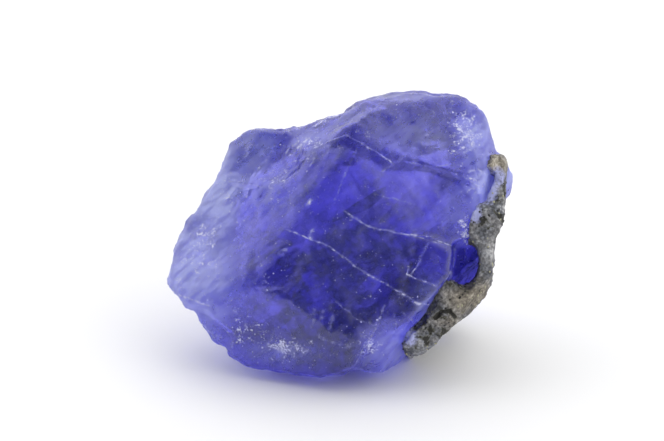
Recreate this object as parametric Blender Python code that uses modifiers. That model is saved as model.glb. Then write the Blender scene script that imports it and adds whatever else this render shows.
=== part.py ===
"""Rough tanzanite: a broken violet-blue crystal with a rind of its grey host rock.

The stone is shaped in the frame of its broad face: u to the right, v up the face and w out
of it. It is then stood up, with the broad face leaning back, on the flat that it rests on.
"""

import math

import bmesh
import bpy
from mathutils import Matrix, Vector

MM = 0.001

# Driving dimensions
LEAN = math.radians(25.0)  # how far the broad face leans back from upright
UPRIGHT = Matrix.Rotation(math.pi / 2 - LEAN, 3, "X")  # from the broad face's frame
BLOCK_HALF_DEPTH = 11.0 * MM  # more than the stone's depth either side of the broad face
RIND_THICKNESS = 1.9 * MM
RIND_SINK = 0.15 * MM  # of the rind's front below the crystal's faces beside it
RIND_GAP = 0.35 * MM  # between the rind and the crystal that it coats

# Grain of the surfaces, and the name, pattern, scale and height of each relief on them
CRYSTAL_VOXEL = 0.22 * MM
RIND_VOXEL = 0.24 * MM
CRYSTAL_TRIANGLES = 5200
RIND_TRIANGLES = 2200
CRYSTAL_RELIEF = [
    ("Broad swells", "CLOUDS", 4.0 * MM, 0.32 * MM),
    ("Small dents", "CLOUDS", 1.3 * MM, 0.14 * MM),
]
RIND_RELIEF = [
    ("Lumps", "CLOUDS", 1.6 * MM, 0.55 * MM),
    ("Pits", "VORONOI", 0.9 * MM, 0.25 * MM),
]

# Outline of the crystal seen square to its broad face, clockwise from the left tip, in mm
CRYSTAL_OUTLINE = [
    (-12.2, -3.5), (-11.9, -2.4), (-11.6, -1.0), (-10.8, 0.7), (-9.9, 2.2), (-8.9, 3.6),
    (-8.4, 4.4), (-8.0, 5.2), (-7.9, 6.0), (-7.6, 6.7), (-6.8, 7.25), (-5.9, 7.35),
    (-4.9, 7.15), (-3.9, 7.2), (-2.9, 7.4), (-1.9, 7.8), (-0.9, 8.15), (0.1, 8.35),
    (1.2, 9.1), (2.4, 9.45), (3.4, 9.7), (4.4, 9.8), (5.7, 9.85), (6.3, 9.5),
    (7.9, 9.55), (8.6, 9.2), (9.9, 8.2), (10.1, 7.3), (10.7, 5.6), (11.3, 5.2),
    (11.8, 4.8), (12.0, 4.0), (11.8, 3.1), (11.1, 2.3), (10.2, 1.4), (9.7, 0.0),
    (9.6, -1.5), (9.4, -3.0), (8.8, -4.1), (7.8, -4.9), (6.8, -5.6), (6.1, -6.5),
    (5.3, -7.4), (4.6, -8.3), (3.8, -9.15), (3.0, -9.6), (1.4, -9.4), (0.5, -9.1),
    (-0.2, -9.55), (-1.6, -9.75), (-3.1, -9.55), (-5.8, -9.25), (-6.9, -8.9), (-7.6, -8.4),
    (-8.1, -7.7), (-8.9, -7.3), (-9.5, -6.5), (-10.1, -5.8), (-10.1, -5.3), (-10.8, -5.1),
    (-11.1, -4.4),
]

# Outline of the rind seen the same way, clockwise from its top, in mm
RIND_OUTLINE = [
    (10.4, 5.5), (11.1, 5.3), (11.3, 4.6), (11.1, 3.4), (11.15, 2.4), (11.0, 1.4),
    (10.7, 0.4), (10.45, -0.9), (10.35, -2.0), (10.25, -3.1), (9.95, -4.0), (9.4, -4.9),
    (8.7, -5.5), (7.5, -6.1), (6.9, -6.8), (6.2, -7.6), (5.5, -8.1), (5.0, -8.3),
    (4.2, -8.1), (4.0, -7.4), (4.3, -6.7), (5.2, -6.1), (5.9, -5.3), (6.2, -4.5),
    (6.5, -3.8), (7.0, -3.0), (7.6, -3.3), (8.6, -3.6), (9.1, -3.2), (9.3, -2.3),
    (9.4, -1.5), (9.2, -0.9), (8.8, -0.3), (8.8, 0.5), (9.3, 1.8), (9.9, 2.6),
    (10.2, 3.6), (9.9, 4.4),
]

# Broken faces of the stone: a point on each in mm, and the way it looks, as (u, v, w)
FRONT_FACETS = {
    "main face": ((2.0, -1.0, 6.2), (0.03, 0.08, 0.99)),
    "left face": ((-3.0, 0.6, 6.2), (-0.46, 0.37, 0.81)),
    "lower left face": ((-1.5, -6.2, 6.6), (-0.30, -0.42, 0.86)),
    "upper right face": ((3.4, 4.8, 5.7), (0.21, 0.36, 0.91)),
    "top strip": ((1.7, 8.4, 4.6), (-0.03, 0.86, 0.51)),
}
BACK_FACETS = {
    "back": ((2.0, 0.0, -7.0), (0.05, 0.14, -0.99)),
    "back left": ((-11.0, 0.0, 0.3), (-0.72, 0.25, -0.65)),
    "back upper left": ((-7.5, 6.0, 0.2), (-0.50, 0.62, -0.60)),
    "back top": ((3.0, 9.6, 1.0), (0.05, 0.80, -0.60)),
    "back upper right": ((9.6, 8.0, 0.8), (0.66, 0.45, -0.60)),
    "back lower right": ((6.5, -6.5, -1.5), (0.62, -0.45, -0.64)),
    "back lower left": ((-9.2, -6.6, 0.5), (-0.66, -0.42, -0.62)),
}

# Side faces that the rind coats, in the same form
COATED_FACETS = {
    "upper side": ((9.6, 3.5, 4.9), (0.86, 0.16, 0.48)),
    "middle side": ((8.7, -0.5, 5.9), (0.92, -0.08, 0.38)),
    "lower side": ((5.8, -4.5, 6.2), (0.74, -0.61, 0.29)),
    "back right": ((10.6, 0.0, -1.8), (0.74, 0.05, -0.67)),
}

# Where the rind is broken off, low on the front and behind the stone
RIND_ENDS = {
    "low front": ((6.6, -4.2, 6.15), (0.20, -0.28, 0.94)),
    "behind": ((9.0, 2.0, -0.3), (0.15, 0.55, -0.82)),
}

# Faces under the standing stone: a point on each in mm from the middle of the broad face,
# and the way it looks, as (x, y, z)
BASE = -7.9  # height of the resting flat
UNDERSIDE = {
    "under middle": ((0.0, 0.0, BASE - 0.15), (0.0, 0.0, -1.0)),
    "under left": ((-3.6, 0.0, BASE), (-0.36, 0.05, -0.93)),
    "under right": ((3.8, 0.0, BASE), (0.40, 0.0, -0.92)),
    "under front": ((0.0, -4.2, BASE), (0.03, -0.12, -0.99)),
    "under back": ((0.0, 2.4, BASE), (0.0, 0.50, -0.87)),
}
RESTING_FLAT = {"resting flat": ((0.0, 0.0, BASE), (0.0, 0.0, -1.0))}

# Shell-like breaks: the face that each is in, its middle (u, v), the radius of its bowl and
# its depth, in mm
SCOOPS = [
    ("left face", (-4.4, 5.6), 3.9, 0.75),
    ("left face", (-6.7, 4.5), 2.9, 0.45),
    ("left face", (-8.3, 0.6), 16.0, 0.35),
    ("lower left face", (-5.2, -7.0), 13.0, 0.30),
    ("upper right face", (7.4, 7.2), 9.0, 0.25),
    ("back left", (-8.0, -1.8), 9.0, 0.65),
    ("back", (2.6, 1.6), 11.0, 0.75),
    ("back", (0.0, -4.4), 7.0, 0.55),
    ("back top", (-0.6, 6.4), 6.5, 0.60),
    ("back upper right", (7.6, 6.0), 6.0, 0.55),
    ("back upper left", (-5.4, 3.6), 6.0, 0.50),
    ("back lower right", (4.4, -5.4), 7.0, 0.50),
]

# Cleavage steps: the outline in (u, v) of the sheet that broke away, in mm, and three points
# (u, v, w) of the floor that it left
STEPS = {
    "sunken_band": (
        [(-0.6, 5.6), (0.9, 6.4), (3.4, 4.8), (4.6, 4.9), (6.7, 4.4), (8.0, 3.9), (9.4, 2.4),
         (9.2, 0.2), (8.4, -0.8), (7.4, -1.1), (5.9, -0.3), (3.8, 0.0), (2.2, 0.3), (0.1, 1.2),
         (-1.6, 2.2)],
        [(0.9, 6.4, 5.45), (8.0, 3.9, 4.6), (7.6, -0.8, 5.6)],
    ),
    "upper_left_strip": (
        [(-3.2, 5.2), (-2.6, 5.6), (-0.5, 7.0), (1.7, 8.4), (2.4, 10.4), (-3.4, 10.4),
         (-3.8, 6.6)],
        [(-2.6, 5.6, 4.15), (1.7, 8.4, 4.6), (-1.5, 8.2, 2.2)],
    ),
    "pocket": (
        [(7.5, -0.6), (8.8, -0.2), (9.9, -1.0), (9.8, -3.3), (8.6, -3.9), (7.1, -3.3),
         (7.4, -2.2)],
        [(7.5, -0.6, 4.6), (9.5, -1.5, 3.0), (7.6, -3.4, 4.4)],
    ),
    "lower_right_facet": (
        [(2.7, -5.7), (4.1, -6.9), (5.6, -8.0), (5.0, -10.5), (0.5, -10.5), (0.7, -9.2),
         (1.2, -7.7)],
        [(2.7, -5.7, 6.5), (4.2, -7.6, 5.3), (0.8, -8.8, 5.4)],
    ),
    "chipped_tip": (
        [(-12.5, -4.2), (-9.6, -5.0), (-7.4, -6.9), (-8.0, -10.0), (-13.0, -10.0)],
        [(-11.0, -4.6, 3.1), (-8.4, -6.4, 3.5), (-8.4, -9.0, 2.5)],
    ),
    "back_sheet": (
        [(-4.5, -3.0), (3.2, -2.2), (6.4, 1.0), (4.6, 7.5), (-2.0, 6.5), (-5.5, 1.5)],
        [(-3.0, 0.0, -6.3), (5.0, 1.0, -6.75), (0.0, 5.0, -6.0)],
    ),
}

# Colour, roughness and transmission of each material
TANZANITE = ("Tanzanite", (0.10, 0.09, 0.48, 1.0), 0.15, 0.9)
HOST_ROCK = ("Host rock", (0.36, 0.34, 0.30, 1.0), 0.85, 0.0)


def clear_scene():
    for obj in list(bpy.data.objects):
        bpy.data.objects.remove(obj)


def new_collection(name):
    collection = bpy.data.collections.new(name)
    bpy.context.scene.collection.children.link(collection)
    return collection


def material(name, colour, roughness, transmission):
    mat = bpy.data.materials.new(name)
    mat.use_nodes = True
    shader = mat.node_tree.nodes["Principled BSDF"]
    shader.inputs["Base Color"].default_value = colour
    shader.inputs["Roughness"].default_value = roughness
    shader.inputs["Transmission Weight"].default_value = transmission
    return mat


def object_of(mesh, name, collection):
    obj = bpy.data.objects.new(name, mesh)
    collection.objects.link(obj)
    return obj


def helper(obj):
    """A cutter or guide, which is no part of the stone."""
    obj.hide_render = True
    obj.display_type = "WIRE"
    return obj


def evaluated_mesh(obj):
    """The object's mesh with its modifiers applied and its place baked in."""
    bpy.context.view_layer.update()
    graph = bpy.context.evaluated_depsgraph_get()
    evaluated = obj.evaluated_get(graph)
    mesh = bpy.data.meshes.new_from_object(evaluated)
    mesh.transform(obj.matrix_world)
    return mesh


def replace_mesh(obj, mesh):
    """Gives the object a finished mesh in place of its old one and its modifiers."""
    obj.modifiers.clear()
    obj.data = mesh
    obj.matrix_world = Matrix.Identity(4)
    return obj


def prism(outline, name, collection):
    """A closed block: the outline, in mm, drawn through the whole depth of the stone."""
    curve = bpy.data.curves.new(name, "CURVE")
    curve.dimensions = "2D"
    curve.fill_mode = "BOTH"
    curve.extrude = BLOCK_HALF_DEPTH
    spline = curve.splines.new("POLY")
    spline.points.add(len(outline) - 1)
    for point, (u, v) in zip(spline.points, outline):
        point.co = (u * MM, v * MM, 0.0, 1.0)
    spline.use_cyclic_u = True
    drawn = object_of(curve, name + "_outline", collection)
    mesh = evaluated_mesh(drawn)
    bpy.data.objects.remove(drawn)
    weld(mesh)
    return object_of(mesh, name, collection)


def weld(mesh):
    shape = bmesh.new()
    shape.from_mesh(mesh)
    bmesh.ops.remove_doubles(shape, verts=shape.verts, dist=0.001 * MM)
    bmesh.ops.recalc_face_normals(shape, faces=shape.faces)
    shape.to_mesh(mesh)
    shape.free()


def split_off(mesh, point, normal):
    """Takes off what lies past the plane and closes the cut with a flat face."""
    shape = bmesh.new()
    shape.from_mesh(mesh)
    cut = bmesh.ops.bisect_plane(
        shape,
        geom=shape.verts[:] + shape.edges[:] + shape.faces[:],
        dist=0.0005 * MM,
        plane_co=point,
        plane_no=normal,
        clear_outer=True,
    )
    rim = [e for e in cut["geom_cut"] if isinstance(e, bmesh.types.BMEdge)]
    if rim:
        bmesh.ops.holes_fill(shape, edges=shape.edges, sides=0)
        bmesh.ops.recalc_face_normals(shape, faces=shape.faces)
    shape.to_mesh(mesh)
    shape.free()


def break_faces(obj, facets, growth=0.0):
    """Splits the object along each facet, moved outwards by growth."""
    for point, looks in facets.values():
        normal = Vector(looks).normalized()
        split_off(obj.data, Vector(point) * MM + normal * growth, normal)


def take_away(obj, tool, solver="EXACT"):
    """Cuts the tool's shape out of the object."""
    step = obj.modifiers.new("Take away " + tool.name, "BOOLEAN")
    step.operation = "DIFFERENCE"
    step.solver = solver
    step.object = tool


def underside_in_face_frame():
    """The faces under the stone, in the frame of its broad face."""
    lying = UPRIGHT.inverted()
    return {
        name: (tuple(lying @ Vector(point)), tuple(lying @ Vector(looks)))
        for name, (point, looks) in UNDERSIDE.items()
    }


def foot_on(facet, place):
    """The point of a facet's plane that is seen at the place (u, v)."""
    point, looks = facet
    along = sum(looks[axis] * (place[axis] - point[axis]) for axis in (0, 1))
    return Vector((place[0], place[1], point[2] - along / looks[2]))


def scoop(facet, place, radius, depth, collection):
    """A ball that takes a shallow bowl out of the facet."""
    centre = foot_on(facet, place) + Vector(facet[1]).normalized() * (radius - depth)
    mesh = bpy.data.meshes.new("scoop")
    shape = bmesh.new()
    bmesh.ops.create_icosphere(shape, subdivisions=5, radius=radius * MM)
    bmesh.ops.translate(shape, verts=shape.verts, vec=centre * MM)
    shape.to_mesh(mesh)
    shape.free()
    return helper(object_of(mesh, "scoop", collection))


def sheet(outline, floor, name, collection):
    """The sheet that broke away: its outline, from outside down to the floor that it left."""
    broken = helper(prism(outline, name, collection))
    a, b, c = (Vector(point) * MM for point in floor)
    inwards = (b - a).cross(c - a).normalized()
    if inwards.z * a.z > 0:
        inwards.negate()
    split_off(broken.data, a, inwards)
    return broken


def remesh(obj, voxel):
    """Rebuilds the surface as one closed skin of small even faces."""
    step = obj.modifiers.new("Even grain", "REMESH")
    step.mode = "VOXEL"
    step.voxel_size = voxel


def roughen(obj, relief):
    """Raises and lowers the surface by patterns of the given scales and heights."""
    for name, kind, scale, height in relief:
        pattern = bpy.data.textures.new(name, kind)
        pattern.noise_scale = scale
        if kind == "CLOUDS":
            pattern.noise_depth = 1
        step = obj.modifiers.new(name, "DISPLACE")
        step.texture = pattern
        step.texture_coords = "LOCAL"
        step.strength = height
        step.mid_level = 0.5


def simplify(obj, triangles):
    """Brings the surface down to about that many triangles."""
    mesh = evaluated_mesh(obj)
    replace_mesh(obj, mesh)
    mesh.calc_loop_triangles()
    step = obj.modifiers.new("Fewer faces", "DECIMATE")
    step.ratio = min(1.0, triangles / len(mesh.loop_triangles))
    step.use_collapse_triangulate = True
    replace_mesh(obj, evaluated_mesh(obj))


def make_crystal(collection, cutters):
    """The tanzanite itself: one crystal, broken on all sides."""
    crystal = prism(CRYSTAL_OUTLINE, "tanzanite_crystal", collection)
    faces = {**FRONT_FACETS, **BACK_FACETS, **COATED_FACETS}
    break_faces(crystal, faces)
    break_faces(crystal, underside_in_face_frame())
    for name, place, radius, depth in SCOOPS:
        take_away(crystal, scoop(faces[name], place, radius, depth, cutters))
    for name, (outline, floor) in STEPS.items():
        take_away(crystal, sheet(outline, floor, name, cutters))
    remesh(crystal, CRYSTAL_VOXEL)
    roughen(crystal, CRYSTAL_RELIEF)
    simplify(crystal, CRYSTAL_TRIANGLES)
    return crystal


def make_rind(crystal, collection, cutters):
    """The crust of host rock on the right side, shaped to the crystal under it."""
    rind = prism(RIND_OUTLINE, "matrix_rind", collection)
    break_faces(rind, FRONT_FACETS, growth=-RIND_SINK)
    break_faces(rind, COATED_FACETS, growth=RIND_THICKNESS)
    break_faces(rind, RIND_ENDS)
    break_faces(rind, underside_in_face_frame())
    remesh(rind, RIND_VOXEL)
    roughen(rind, RIND_RELIEF)
    grown = helper(object_of(crystal.data.copy(), "grown_crystal", cutters))
    step = grown.modifiers.new("Grow", "DISPLACE")
    step.strength = RIND_GAP
    step.mid_level = 0.0
    remesh(grown, RIND_VOXEL)
    take_away(rind, grown, solver="MANIFOLD")
    remesh(rind, RIND_VOXEL)
    replace_mesh(rind, evaluated_mesh(rind))
    keep_largest(rind)
    simplify(rind, RIND_TRIANGLES)
    return rind


def keep_largest(obj):
    """Drops crumbs that the cutting left loose from the main piece."""
    shape = bmesh.new()
    shape.from_mesh(obj.data)
    left = set(shape.verts)
    pieces = []
    while left:
        todo = [left.pop()]
        piece = []
        while todo:
            vert = todo.pop()
            piece.append(vert)
            for edge in vert.link_edges:
                other = edge.other_vert(vert)
                if other in left:
                    left.remove(other)
                    todo.append(other)
        pieces.append(piece)
    largest = max(pieces, key=len)
    crumbs = [vert for piece in pieces if piece is not largest for vert in piece]
    bmesh.ops.delete(shape, geom=crumbs, context="VERTS")
    shape.to_mesh(obj.data)
    shape.free()


def stand_up(parts):
    """Leans the broad face back and sets the stone on its resting flat."""
    for obj in parts:
        obj.data.transform(UPRIGHT.to_4x4())
        break_faces(obj, RESTING_FLAT)
    corners = [vert.co for obj in parts for vert in obj.data.vertices]
    low = [min(corner[axis] for corner in corners) for axis in range(3)]
    high = [max(corner[axis] for corner in corners) for axis in range(3)]
    move = Matrix.Translation((-(low[0] + high[0]) / 2, -(low[1] + high[1]) / 2, -low[2]))
    for obj in parts:
        obj.data.transform(move)


def main():
    clear_scene()
    stone = new_collection("Rough tanzanite")
    cutters = new_collection("Cutters")
    crystal = make_crystal(stone, cutters)
    rind = make_rind(crystal, stone, cutters)
    stand_up((crystal, rind))
    crystal.data.materials.append(material(*TANZANITE))
    rind.data.materials.append(material(*HOST_ROCK))
    cutters.hide_render = True


main()
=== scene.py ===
"""Rough tanzanite: a broken violet-blue crystal with a crust of its grey host rock.

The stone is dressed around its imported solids. Places on it are given in millimetres in the
frame of its broad face, u to the right, v up the face and w out of it. The model itself is in
metres, with Z up.
"""

from __future__ import annotations

import logging
import math
from collections.abc import Sequence
from dataclasses import dataclass
from enum import Enum
from typing import Any

import bmesh
import bpy
import numpy as np
from bpy.types import ColorRamp, Material, Mesh, Node, NodeSocket, NodeTree, Object
from mathutils import Matrix, Vector, noise

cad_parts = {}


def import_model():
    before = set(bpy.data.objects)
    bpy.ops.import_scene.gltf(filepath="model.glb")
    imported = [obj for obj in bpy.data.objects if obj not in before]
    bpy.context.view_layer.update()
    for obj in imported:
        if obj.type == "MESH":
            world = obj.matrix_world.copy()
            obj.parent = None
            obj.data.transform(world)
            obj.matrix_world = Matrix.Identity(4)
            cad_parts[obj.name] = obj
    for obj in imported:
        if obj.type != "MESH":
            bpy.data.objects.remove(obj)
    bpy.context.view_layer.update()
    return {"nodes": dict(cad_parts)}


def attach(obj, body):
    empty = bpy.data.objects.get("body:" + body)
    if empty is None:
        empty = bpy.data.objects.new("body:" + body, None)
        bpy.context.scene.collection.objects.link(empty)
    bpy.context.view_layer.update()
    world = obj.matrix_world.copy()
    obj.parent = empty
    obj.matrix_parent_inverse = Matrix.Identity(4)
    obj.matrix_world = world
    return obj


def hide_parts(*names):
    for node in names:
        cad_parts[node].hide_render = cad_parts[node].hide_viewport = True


MM = 0.001
LOG = logging.getLogger("rough_tanzanite")

Place = tuple[float, float]
Stop = tuple[float, str]


# Frame of the broad face

@dataclass(frozen=True)
class BroadFace:
    """The frame that the stone's places are given in, and where it stands in the model."""

    lean: float = math.radians(25.0)
    offset: tuple[float, float, float] = (0.31, 1.03, 7.9)

    @property
    def axes(self) -> np.ndarray:
        """The directions u, v and w in the model, one in each row."""
        rise, run = math.cos(self.lean), math.sin(self.lean)
        return np.array([[1.0, 0.0, 0.0], [0.0, run, rise], [0.0, -rise, run]])

    def from_model(self, points: np.ndarray) -> np.ndarray:
        """Places in millimetres, as rows of u, v and w, of points of the model."""
        return (points / MM - np.array(self.offset)) @ self.axes.T

    def to_model(self, places: np.ndarray) -> np.ndarray:
        """Points of the model, in metres, of places given as rows of u, v and w."""
        return (np.asarray(places, float) @ self.axes + np.array(self.offset)) * MM


FACE = BroadFace()


# Colours and node trees

ATTRIBUTE = "ShaderNodeAttribute"
NOISE = "ShaderNodeTexNoise"
CELLS = "ShaderNodeTexVoronoi"
CHANNELS = "ShaderNodeSeparateColor"
RAMP = "ShaderNodeValToRGB"
MAP = "ShaderNodeMapRange"
MATH = "ShaderNodeMath"
MIX = "ShaderNodeMix"
SUM = {"operation": "ADD", "use_clamp": True}
LESS = {"operation": "SUBTRACT", "use_clamp": True}
TIMES = {"operation": "MULTIPLY", "use_clamp": True}
MOST = {"operation": "MAXIMUM", "use_clamp": True}
COLOUR = {"data_type": "RGBA"}

# The whole range of a number, and the range that soft noise hardly ever leaves
FULL = (0.0, 1.0)
SOFT = (0.3, 0.7)


def linear(colour: str) -> tuple[float, float, float, float]:
    """Turns an sRGB hex colour into the linear colour that shaders take.

    Args:
        colour: Six hex digits, red first.

    Returns:
        Red, green, blue and an alpha of one.
    """
    parts = [int(colour[i:i + 2], 16) / 255 for i in (0, 2, 4)]
    red, green, blue = (
        part / 12.92 if part <= 0.04045 else ((part + 0.055) / 1.055) ** 2.4 for part in parts)
    return (red, green, blue, 1.0)


def per_metre(size: float) -> float:
    """The scale of a pattern on Object coordinates whose grain is that many millimetres."""
    return 1.0 / (size * MM)


def set_stops(ramp: ColorRamp, stops: Sequence[Stop]) -> None:
    """Gives a colour ramp its colours.

    Args:
        ramp: The ramp, as a new node has it.
        stops: Each stop's place from 0 to 1 and its sRGB hex colour.
    """
    while len(ramp.elements) < len(stops):
        ramp.elements.new(0.5)
    for element, (place, colour) in zip(ramp.elements, stops):
        element.position = place
        element.color = linear(colour)


def give(
    tree: NodeTree,
    node: Node,
    inputs: dict[str | int, Any] | Sequence[Any],
) -> None:
    """Links or sets the inputs of a node.

    Args:
        tree: The tree that the node is in.
        node: The node.
        inputs: What the inputs get, by name or number, or in a row from the first one on. It is
            a value, a socket, or another node, which gives its first output that is in use.
    """
    for key, value in inputs.items() if isinstance(inputs, dict) else enumerate(inputs):
        if isinstance(value, Node):
            value = next(output for output in value.outputs if output.enabled)
        if isinstance(value, NodeSocket):
            tree.links.new(value, node.inputs[key])
        else:
            node.inputs[key].default_value = value


def add(
    tree: NodeTree,
    kind: str,
    inputs: dict[str | int, Any] | Sequence[Any] = (),
    settings: dict[str, Any] | None = None,
) -> Node:
    """Adds a node with its settings and links.

    Args:
        tree: The tree that the node goes into.
        kind: The node's type.
        inputs: What its inputs get, as give takes it.
        settings: The node's properties by name, with a ramp's stops under color_ramp.

    Returns:
        The new node.
    """
    node = tree.nodes.new(kind)
    for name, value in (settings or {}).items():
        if name == "color_ramp":
            set_stops(node.color_ramp, value)
        else:
            setattr(node, name, value)
    give(tree, node, inputs)
    return node


def new_material(name: str) -> tuple[Material, NodeTree, Node]:
    """Makes a material.

    Args:
        name: The real material that it stands for.

    Returns:
        The material, its tree and its Principled shader.
    """
    material = bpy.data.materials.new(name)
    material.use_nodes = True
    tree = material.node_tree
    return material, tree, tree.nodes["Principled BSDF"]


# Meshes

def add_object(name: str, mesh: Mesh) -> Object:
    """Puts a mesh into the scene.

    Args:
        name: The object's name.
        mesh: Its mesh, with its place in it.

    Returns:
        The object, at the origin.
    """
    obj = bpy.data.objects.new(name, mesh)
    bpy.context.scene.collection.objects.link(obj)
    return obj


def merged_copy(node: Object) -> Mesh:
    """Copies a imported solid's mesh with its loose triangles joined.

    Args:
        node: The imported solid, which is left as it is.

    Returns:
        The closed copy.
    """
    shape = bmesh.new()
    shape.from_mesh(node.data)
    bmesh.ops.remove_doubles(shape, verts=shape.verts, dist=0.0005 * MM)
    mesh = bpy.data.meshes.new(node.name + "_copy")
    shape.to_mesh(mesh)
    shape.free()
    return mesh


def freeze(obj: Object) -> None:
    """Makes the object a plain mesh: what its modifiers give now, without them.

    Args:
        obj: The object.
    """
    bpy.context.view_layer.update()
    evaluated = obj.evaluated_get(bpy.context.evaluated_depsgraph_get())
    mesh = bpy.data.meshes.new_from_object(evaluated)
    obj.modifiers.clear()
    obj.data = mesh


def even_skin(obj: Object, grain: float, smoothing: int) -> None:
    """Rebuilds the object's surface as one closed skin of small even faces.

    Args:
        obj: The object, whose mesh is closed.
        grain: The faces' size in millimetres.
        smoothing: How many times the skin is relaxed.
    """
    skin = obj.modifiers.new("Even skin", "REMESH")
    skin.mode = "VOXEL"
    skin.voxel_size = grain * MM
    relax = obj.modifiers.new("Relax", "SMOOTH")
    relax.factor = 0.5
    relax.iterations = smoothing
    freeze(obj)


def rows_of(items: Any, name: str) -> np.ndarray:
    """Reads a vector of each of a mesh's items.

    Args:
        items: The items, such as its vertices.
        name: The vector's name.

    Returns:
        Rows of x, y and z.
    """
    flat = np.zeros(len(items) * 3)
    items.foreach_get(name, flat)
    return flat.reshape(-1, 3)


def points_of(mesh: Mesh) -> np.ndarray:
    """Where the mesh's vertices are."""
    return rows_of(mesh.vertices, "co")


def normals_of(mesh: Mesh) -> np.ndarray:
    """Which way the mesh's vertices look."""
    return rows_of(mesh.vertex_normals, "vector")


def move_points(mesh: Mesh, points: np.ndarray) -> np.ndarray:
    """Puts the mesh's vertices at those points, but none of them below the floor.

    Args:
        mesh: The mesh.
        points: Rows of x, y and z.

    Returns:
        The rows as they are now.
    """
    points = np.maximum(points, (-np.inf, -np.inf, 0.0))
    mesh.vertices.foreach_set("co", points.astype(np.float32).ravel())
    mesh.update()
    return points


def write_attributes(mesh: Mesh, **values: np.ndarray) -> None:
    """Stores numbers for each vertex, which the materials and the strewn bits read by name.

    Args:
        mesh: The mesh.
        values: A number for each vertex, under each attribute's name.
    """
    for name, numbers in values.items():
        attribute = mesh.attributes.new(name, "FLOAT", "POINT")
        attribute.data.foreach_set("value", numbers.astype(np.float32))


@dataclass(frozen=True)
class Clouds:
    """Soft noise in the stone: its largest clouds in millimetres, its layers and its seed.

    Its values are mostly within the swing of the middle, and are cut off at the limits.
    """

    size: float
    layers: int
    seed: float
    middle: float = 0.0
    swing: float = 1.0
    limits: tuple[float, float] = (-math.inf, math.inf)

    def over(self, points: np.ndarray) -> np.ndarray:
        """Reads the noise at a set of points.

        Args:
            points: Rows of x, y and z in metres.

        Returns:
            A value for each point.
        """
        shift = Vector((self.seed, 2.3 * self.seed, -1.7 * self.seed))
        scaled = points / (self.size * MM)
        values = [noise.fractal(Vector(p) + shift, 1.0, 2.0, self.layers) for p in scaled]
        return np.clip(self.middle + self.swing * np.array(values), *self.limits)


# Lines and spots on the broad face, for places given as rows of u and v

def distance_to_line(places: np.ndarray, line: Sequence[Place]) -> np.ndarray:
    """Measures how far places are from a line of straight stretches.

    Args:
        places: The places.
        line: The line's corners.

    Returns:
        A distance for each place.
    """
    nearest = np.full(len(places), np.inf)
    for start, end in zip(line[:-1], line[1:]):
        a, b = np.array(start), np.array(end)
        along = np.clip((places - a) @ (b - a) / ((b - a) @ (b - a)), 0.0, 1.0)
        away = np.linalg.norm(places - a - along[:, None] * (b - a), axis=1)
        nearest = np.minimum(nearest, away)
    return nearest


def inside_outline(places: np.ndarray, outline: Sequence[Place]) -> np.ndarray:
    """Tells which places are inside a closed outline.

    Args:
        places: The places.
        outline: The outline's corners.

    Returns:
        True or false for each place.
    """
    inside = np.zeros(len(places), bool)
    u, v = places.T
    for (u0, v0), (u1, v1) in zip(outline, [*outline[1:], outline[0]]):
        if v0 == v1:
            continue
        crosses = (v0 > v) != (v1 > v)
        inside ^= crosses & (u < (u1 - u0) * (v - v0) / (v1 - v0) + u0)
    return inside


def soft_outline(places: np.ndarray, outline: Sequence[Place], edge: float) -> np.ndarray:
    """Fills a closed outline with a soft edge.

    Args:
        places: The places.
        outline: The outline's corners.
        edge: The width of its edge.

    Returns:
        One for places inside, nought for those outside, and between them on the edge.
    """
    distance = distance_to_line(places, [*outline, outline[0]])
    signed = np.where(inside_outline(places, outline), distance, -distance)
    return np.clip(0.5 + signed / edge, 0.0, 1.0)


def spot(places: np.ndarray, middle: Place, reach: Place) -> np.ndarray:
    """One at the middle of a round or oval spot, fading to nought past its reach."""
    across = (places - np.array(middle)) / np.array(reach)
    return np.exp(-(across ** 2).sum(axis=1))


def near_lines(places: np.ndarray, lines: Sequence[tuple[Sequence[Place], float]]) -> np.ndarray:
    """One on any of the lines, fading to nought past the reach that each one gives."""
    spans = [distance_to_line(places, line) / reach for line, reach in lines]
    return np.exp(-np.min(spans, axis=0) ** 2)


# Marks of the crystal

class MarkKind(Enum):
    """What a line on the crystal is, and how far it stands out there, in millimetres."""

    # a rim stands up and is painted white along its broken edge, a painted highlight
    RIM = 0.03
    CRACK = -0.02
    FOOT = -0.04


RIM, CRACK, FOOT = MarkKind


@dataclass(frozen=True)
class Mark:
    """A line on the front of the crystal: its route in millimetres, strength and width."""

    kind: MarkKind
    route: tuple[Place, ...]
    strength: float = 1.0
    width: float = 0.040


@dataclass(frozen=True)
class ColourPlate:
    """A patch of the crystal with sharper sides and a tone of its own.

    Most are plates of the crystal; two are painted reflections of inner mirrors, and one is
    painted shade along the foot of a step.
    """

    outline: tuple[Place, ...]
    tone: float
    strength: float = 0.6
    edge: float = 0.25


@dataclass(frozen=True)
class Patch:
    """An oval of the front, and how strong something is in the middle of it."""

    middle: Place
    reach: Place
    strength: float


def ovals(*rows: tuple[Place, Place, float]) -> tuple[Patch, ...]:
    """Patches, from rows of their middle, reach and strength."""
    return tuple(Patch(*row) for row in rows)


def strongest(patches: Sequence[Patch], places: np.ndarray) -> np.ndarray:
    """Finds how strong the strongest patch is at each place.

    Args:
        patches: The patches.
        places: Rows of u and v.

    Returns:
        A strength for each place.
    """
    values = np.zeros(len(places))
    for patch in patches:
        values = np.maximum(values, patch.strength * spot(places, patch.middle, patch.reach))
    return values


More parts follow.
